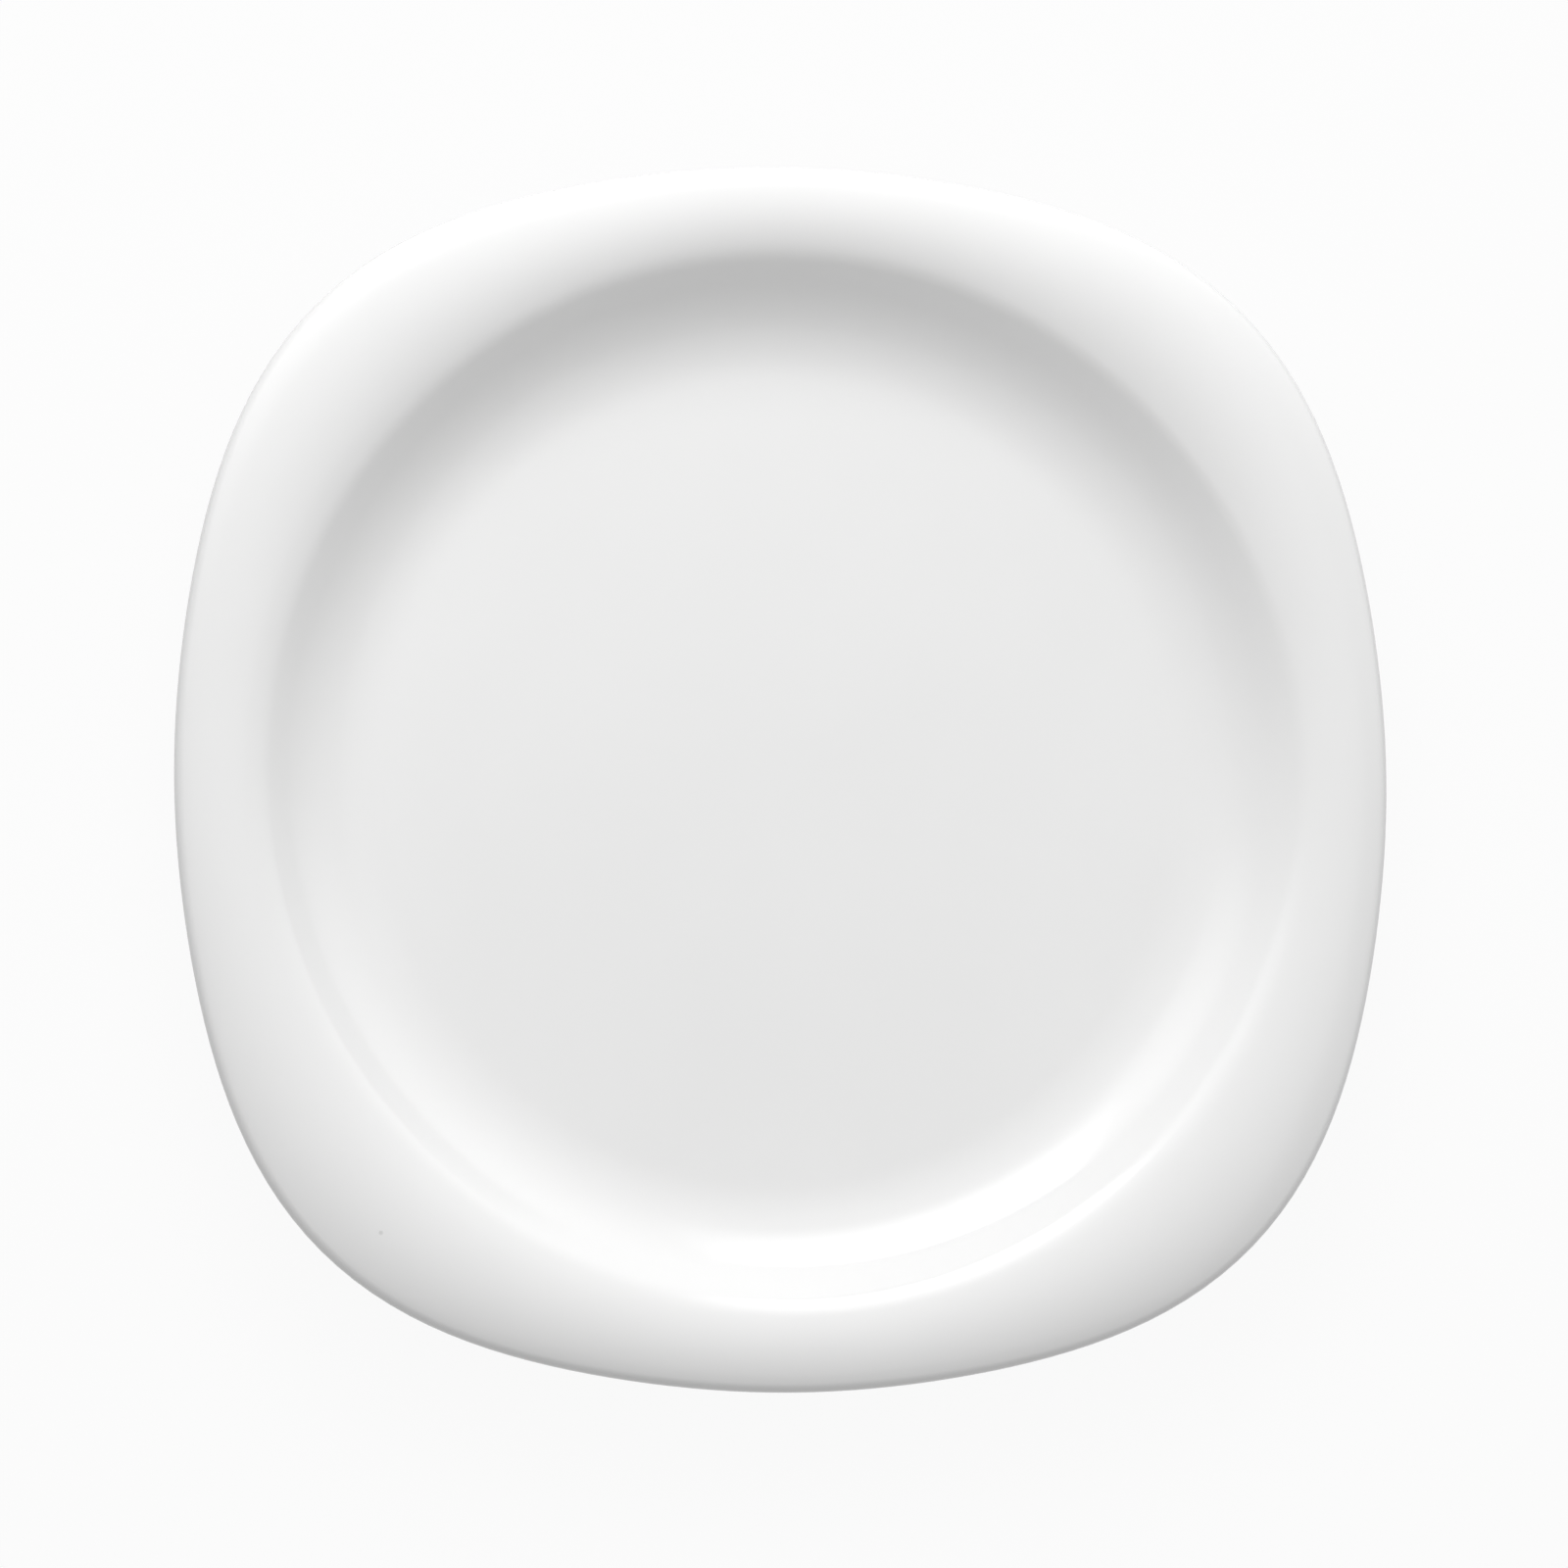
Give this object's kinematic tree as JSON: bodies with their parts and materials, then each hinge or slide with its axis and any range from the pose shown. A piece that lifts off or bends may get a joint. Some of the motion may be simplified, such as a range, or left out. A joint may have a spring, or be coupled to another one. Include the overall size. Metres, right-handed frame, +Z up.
{
  "type": "breakfast plate",
  "caption": "White glazed porcelain breakfast plate: a round, shallow well in a square rim with very round corners and a thick rolled edge, on a bare foot ring",
  "frame": {"origin": "Middle of the plate on the surface that it stands on", "axes": "Z up, square to the floor of the plate; X and Y square to the flat sides of the rim"},
  "size_m": [0.2, 0.2, 0.019],
  "materials": {
    "porcelain": "fine matt bare porcelain, ground flat on the standing face",
    "glaze": "clear gloss glaze over white porcelain"
  },
  "bodies": {
    "root": {"porcelain_body": "porcelain", "upper_glaze": "glaze", "recess_glaze": "glaze"}
  },
  "joints": []
}
